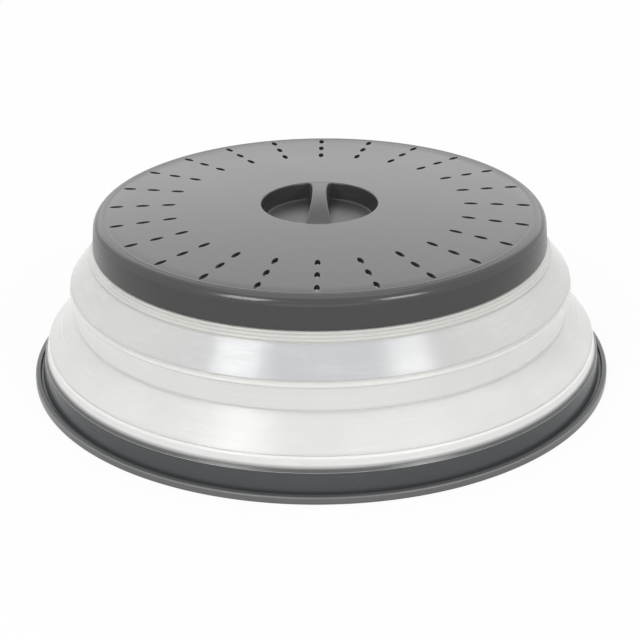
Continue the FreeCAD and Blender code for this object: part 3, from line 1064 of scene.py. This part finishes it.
@dataclass
class TopPlate:
    """The stiff top plate with its skirt, vents and sunken grip.

    Args:
        effects: the shared shader groups.
    """

    effects: Effects
    wall: float = 2.0 * MM
    skirt: Skirt = Skirt()
    skirt_proud: float = 0.7 * MM
    shoulder_proud: float = 0.4 * MM
    shoulder: float = 4.2 * MM
    shoulder_share: float = 0.72
    rim_land: float = 4.8 * MM
    rim_lines: RimLines = RimLines()
    field_drop: float = 0.3 * MM
    crown_rise: float = 2.2 * MM
    dome_cuts: int = 14
    recess_radius: float = 26.5 * MM
    recess_depth: float = 7.8 * MM
    recess_draft: float = 1.7 * MM
    floor_round: float = 0.9 * MM
    vents: Vents = Vents()
    grip: Grip = Grip()
    finish: StiffPlastic = StiffPlastic(
        "plate_grey", (0.047, 0.048, 0.047), roughness=0.17, matt_radius=26.0 * MM,
    )
    # The skirt is the plate's plastic with less gloss; its paler colour stands in for the reflection that
    # the lower gloss takes away, a painted reflection.
    skirt_finish: StiffPlastic = StiffPlastic("skirt_grey", (0.061, 0.062, 0.060), gloss=0.2)

    def __post_init__(self) -> None:
        """Work out the heights and radii that several parts of the plate share."""
        plate = Band("top_plate")
        self.foot = plate.foot
        self.crest = plate.head
        self.skirt_radius = plate.radius + self.skirt_proud
        self.bore = plate.radius - self.skirt.wall
        self.radius = plate.radius - self.skirt.flare + self.shoulder_proud
        self.rim = self.foot + self.skirt.height
        self.level = self.rim - self.field_drop
        self.crown = self.level + self.crown_rise
        self.floor = self.crown - self.recess_depth
        self.field_radius = self.radius - self.rim_land

    def dome(self, radius: float) -> float:
        """Height of the domed field at a radius."""
        ball = (self.field_radius ** 2 + self.crown_rise ** 2) / (2 * self.crown_rise)
        return self.crown - ball + math.sqrt(ball ** 2 - radius ** 2)

    def dome_corners(self, first: float, last: float, drop: float = 0.0) -> list[Corner]:
        """Corners along the dome between two radii, ends included.

        Args:
            first: radius of the first corner.
            last: radius of the last corner.
            drop: how far below the dome they lie.

        Returns:
            The corners, in order.
        """
        radii = [first + (last - first) * step / self.dome_cuts for step in range(self.dome_cuts + 1)]
        return [Corner(radius, self.dome(radius) - drop) for radius in radii]

    def shell(self) -> bpy.types.Object:
        """Turn the skirt, shoulder, domed field and finger recess.

        Returns:
            The shell, without its grip and vents.
        """
        inner_floor = self.recess_radius - self.recess_draft
        edge = self.field_radius
        bore_head = self.bore - self.skirt.draw_in(self.skirt.height - self.wall)
        return turned_piece("top", [
            Corner(0, self.floor),
            Corner(inner_floor, self.floor, self.floor_round),
            Corner(self.recess_radius, self.dome(self.recess_radius), 0.5 * MM),
            *self.dome_corners(self.recess_radius + 1.5 * MM, edge - self.rim_lines.inset - 0.3 * MM),
            *self.rim_lines.corners(edge, self.level),
            Corner(self.radius, self.level, self.shoulder),
            Corner(self.skirt_radius, self.foot, 0.3 * MM),
            Corner(self.bore, self.foot, 0.2 * MM),
            Corner(bore_head, self.rim - self.wall, 2.2 * MM),
            *self.dome_corners(edge, self.recess_radius + self.wall, self.wall),
            Corner(inner_floor + self.wall, self.floor - self.wall, 0.5 * MM),
            Corner(0, self.floor - self.wall),
        ], closed=False)

    def slots(self) -> bpy.types.Object:
        """Upright oval prisms that cut the vents.

        Returns:
            One object that holds them all.
        """
        vents = self.vents
        bm = bmesh.new()
        for row in range(vents.rows):
            reach = self.radius - vents.margin - row * vents.pitch
            for ray in range(vents.rays):
                made = bmesh.ops.create_circle(bm, cap_ends=True, radius=0.5, segments=28)["verts"]
                bmesh.ops.scale(bm, vec=(vents.length, vents.width, 1), verts=made)
                spin = Matrix.Rotation(2 * math.pi * ray / vents.rays, 4, "Z")
                bmesh.ops.transform(bm, matrix=spin @ Matrix.Translation((reach, 0, self.foot)), verts=made)
        raised = bmesh.ops.extrude_face_region(bm, geom=bm.faces[:])["geom"]
        tops = [part for part in raised if isinstance(part, bmesh.types.BMVert)]
        bmesh.ops.translate(bm, verts=tops, vec=(0, 0, self.crest - self.foot))
        bmesh.ops.recalc_face_normals(bm, faces=bm.faces[:])
        return finish_mesh("slots", bm)

    def bar(self, name: str, grip: Grip, foot: float) -> bpy.types.Object:
        """Arched bar across the recess, narrow in the middle and flared into the wall.

        It starts as a cube from -1 to 1, which is divided and then drawn to its shape.

        Args:
            name: the object's name.
            grip: its sizes.
            foot: height of its underside.

        Returns:
            The bar.
        """
        bm = bmesh.new()
        bmesh.ops.create_cube(bm, size=2.0)
        for axis, cuts in ((1, grip.cuts), (2, 7)):
            along = [edge for edge in bm.edges
                     if abs(edge.verts[0].co[axis] - edge.verts[1].co[axis]) > 1.9]
            bmesh.ops.subdivide_edges(bm, edges=along, cuts=cuts, use_grid_fill=True)
        crests = [edge for edge in bm.edges
                  if all(vert.co.z > 0.99 and abs(vert.co.x) > 0.99 for vert in edge.verts)
                  and abs(edge.verts[0].co.x - edge.verts[1].co.x) < 0.01]
        rim = self.dome(self.recess_radius)
        for vert in bm.verts:
            along, up = vert.co.y, (vert.co.z + 1) / 2
            wall = self.recess_radius - self.recess_draft * (1 - up) + grip.embed
            top = grip.arch(along * wall, self.crest, self.recess_radius, rim)
            across = vert.co.x * grip.half_width(along * wall, up, self.recess_radius)
            vert.co = (across, along * math.sqrt(wall ** 2 - across ** 2), foot + (top - foot) * up)
        bmesh.ops.bevel(bm, geom=crests, offset=grip.rounding, offset_type="OFFSET", segments=4,
                        profile=0.5, affect="EDGES", material=-1)
        bmesh.ops.recalc_face_normals(bm, faces=bm.faces[:])
        return finish_mesh(name, bm)

    def build(self) -> bpy.types.Object:
        """Join the shell and the grip, hollow the grip and cut the vents.

        Returns:
            The whole plate.
        """
        top = self.shell()
        combine(top, self.bar("grip", self.grip, self.floor - self.wall / 2), "UNION")
        combine(top, self.bar("hollow", self.grip.hollow(), self.floor - 2 * self.wall), "DIFFERENCE")
        combine(top, self.slots(), "DIFFERENCE")
        soften(top)
        return top

    def dress(self) -> None:
        """Build the plate and give it its body and its finishes, the skirt's own below the shoulder."""
        top = self.build()
        place(top, Body.LID, "top_plate", Slot.PLATE, self.finish.material(self.effects))
        top.data.materials.append(self.skirt_finish.material(self.effects))
        skirt_head = self.level - self.shoulder * self.shoulder_share
        skirt_bore = self.radius - 1.0 * MM
        for polygon in top.data.polygons:
            if polygon.center.z < skirt_head and polygon.center.xy.length > skirt_bore:
                polygon.material_index = 1


# ---------------------------------------------------------------------------------------------
# Studio
# ---------------------------------------------------------------------------------------------


@dataclass(frozen=True)
class Softbox:
    """A rectangular lamp that faces the cover.

    Args:
        name: its name.
        azimuth: degrees round from the front, positive to the right.
        elevation: degrees above the floor.
        distance: from the middle of the cover.
        width: its width.
        height: its height.
        power: its strength in watts.
    """

    name: str
    azimuth: float
    elevation: float
    distance: float
    width: float
    height: float
    power: float

    def hang(self, aim: Vector) -> None:
        """Add the lamp to the scene.

        Args:
            aim: the point that it faces.
        """
        data = bpy.data.lights.new(self.name, "AREA")
        data.shape = "RECTANGLE"
        data.size, data.size_y = self.width, self.height
        data.energy = self.power
        lamp = bpy.data.objects.new(self.name, data)
        bpy.context.scene.collection.objects.link(lamp)
        side, up = math.radians(self.azimuth), math.radians(self.elevation)
        away = Vector((math.sin(side) * math.cos(up), -math.cos(side) * math.cos(up), math.sin(up)))
        lamp.location = away * self.distance + aim
        lamp.rotation_euler = away.to_track_quat("Z", "Y").to_euler()


@dataclass
class Studio:
    """Camera, lamps, world and floor.

    Args:
        turn: how far the camera stands round from the front, positive to the right.
        tilt: how far it looks down.
        roll: how far it is rolled.
        distance: from the vertical axis to the camera, along the floor.
        height: of the camera above the floor.
        lens: its focal length, for a sensor of the given width.
        sensor: that width.
        shift: how far its view is shifted sideways and up, as a share of the sensor's width.
        aim_height: height of the point that the lamps face.
        softboxes: the lamps.
    """

    turn: float = math.radians(0.87)
    tilt: float = math.radians(25.098)
    roll: float = math.radians(-0.6)
    distance: float = 0.6365
    height: float = 0.316
    lens: float = 84.116
    sensor: float = 36.0
    shift: tuple[float, float] = (-0.0011, 0.0010)
    aim_height: float = 50 * MM
    softboxes: tuple[Softbox, ...] = (
        Softbox("softbox_left", -41.5, 44.5, 1.6, 0.48, 0.59, 6.5),
        Softbox("softbox_right", 43.5, 36.0, 1.6, 0.46, 0.41, 4.9),
        Softbox("softbox_top", 180.0, 80.0, 2.0, 1.6, 1.2, 5.0),
        Softbox("softbox_back", 180.0, 29.0, 1.8, 3.0, 1.0, 7.6),
        Softbox("softbox_front", 0.0, 14.0, 2.5, 2.0, 0.9, 3.0),
    )

    def camera(self) -> None:
        """Set the camera in front of the cover, looking down on it."""
        data = bpy.data.cameras.new("camera")
        data.lens = self.lens
        data.sensor_width = self.sensor
        data.shift_x, data.shift_y = self.shift
        data.clip_start, data.clip_end = 0.05, 50.0
        camera = bpy.data.objects.new("camera", data)
        bpy.context.scene.collection.objects.link(camera)
        aim = Matrix.Rotation(math.pi / 2 - self.tilt, 4, "X") @ Matrix.Rotation(self.roll, 4, "Z")
        stand = Matrix.Translation((0, -self.distance, self.height))
        camera.matrix_world = Matrix.Rotation(self.turn, 4, "Z") @ stand @ aim
        bpy.context.scene.camera = camera

    def seen_white(self, graph: Graph) -> Socket:
        """1 where a ray comes from the camera, a gloss or clear plastic, and 0 elsewhere.

        Args:
            graph: the graph that it is added to.

        Returns:
            That share.
        """
        path = graph.add("LightPath").outputs
        glossy = graph.maths("MAXIMUM", path["Is Glossy Ray"], path["Is Transmission Ray"])
        return graph.maths("MAXIMUM", path["Is Camera Ray"], glossy)

    def world(self) -> None:
        """White surroundings to the eye, and a plain even fill for the light."""
        fill: Paint = (0.62, 0.625, 0.63, 1.0)
        world = bpy.data.worlds.new("studio")
        world.use_nodes = True
        graph = Graph(world.node_tree)
        background = graph.tree.nodes["Background"]
        colour = graph.mix(self.seen_white(graph), fill, WHITE)
        graph.tree.links.new(colour, background.inputs["Color"])
        bpy.context.scene.world = world

    def floor(self) -> None:
        """A wide pale floor that keeps a faint shadow, and is dim inside the cover."""
        bm = bmesh.new()
        bmesh.ops.create_circle(bm, cap_ends=True, radius=6.0, segments=96)
        piece = finish_mesh("floor", bm)
        material = bpy.data.materials.new("floor_white")
        material.use_nodes = True
        graph = Graph(material.node_tree)
        graph.tree.nodes.clear()
        matt = graph.add("BsdfDiffuse", {"Color": (0.86, 0.86, 0.86, 1.0)})
        glow = graph.add("Emission", {"Color": WHITE})
        ring = Band("base_ring").radius
        dim, bright = 0.3, 0.9
        share = graph.maths("MULTIPLY", self.seen_white(graph),
                            graph.stretch(graph.radius(), ring - 5 * MM, ring - 1 * MM, dim, bright))
        both = graph.add("MixShader", {0: share, 1: matt.outputs[0], 2: glow.outputs[0]})
        graph.add("OutputMaterial", {"Surface": both.outputs[0]})
        piece.data.materials.append(material)

    def build(self) -> None:
        """Set up the whole studio."""
        self.camera()
        self.world()
        self.floor()
        for softbox in self.softboxes:
            softbox.hang(Vector((0, 0, self.aim_height)))
        bpy.context.scene.view_settings.view_transform = "Standard"


def main() -> None:
    """Build the cover and its studio."""
    logging.basicConfig(level=logging.INFO, format="%(name)s: %(message)s")
    Studio().build()
    effects = Effects()
    BaseRing(effects).dress()
    Bellows(effects).dress()
    TopPlate(effects).dress()


if __name__ == "__main__":
    main()
